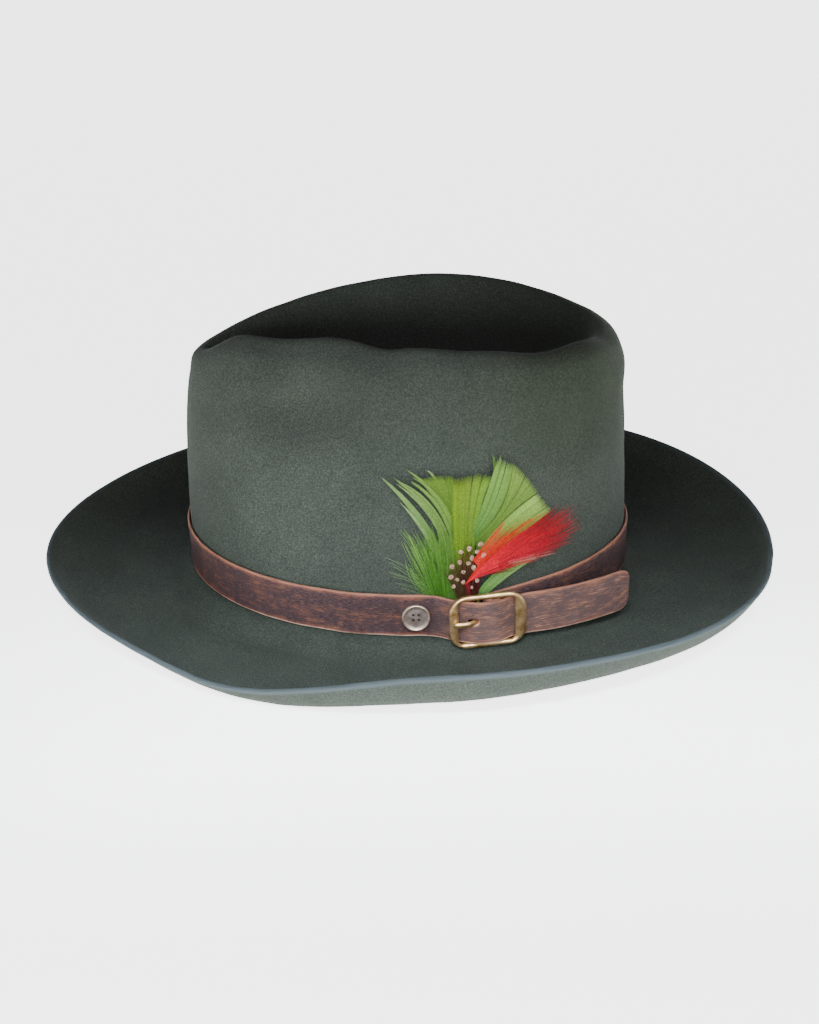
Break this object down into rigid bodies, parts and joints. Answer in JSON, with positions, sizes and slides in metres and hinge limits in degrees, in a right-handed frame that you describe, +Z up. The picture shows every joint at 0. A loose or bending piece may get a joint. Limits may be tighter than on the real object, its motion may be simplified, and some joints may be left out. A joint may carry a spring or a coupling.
{
  "type": "felt hat",
  "caption": "Felt hat with a creased crown, a curled brim snapped down in front, a buckled leather band and a spray of feathers.",
  "frame": {"origin": "on the surface that the hat rests on, under the middle of the brim", "axes": "-X is the front of the hat, -Y the wearer's left side with the buckle and feathers, +Z up"},
  "size_m": [0.3514, 0.2978, 0.1376],
  "materials": {
    "felt": "matt grey-green wool felt with a soft nap",
    "leather": "dark brown, worn lighter along the edges",
    "buckle_brass": "antique brass, satin",
    "button_metal": "dark antique metal with a lighter rim",
    "green_blades": "matt yellow-green feather",
    "green_hackle": "matt bright green feather",
    "spotted_quill": "maroon feather with pale spots",
    "red_quill": "matt red feather with an orange edge"
  },
  "bodies": {
    "root": {"hat_body": "felt", "hat_band": "leather", "buckle_frame": "buckle_brass", "buckle_prong": "buckle_brass", "band_stud": "button_metal", "feather_fan": "green_blades", "feather_hackle": "green_hackle", "feather_spotted": "spotted_quill", "feather_red": "red_quill"}
  },
  "joints": []
}
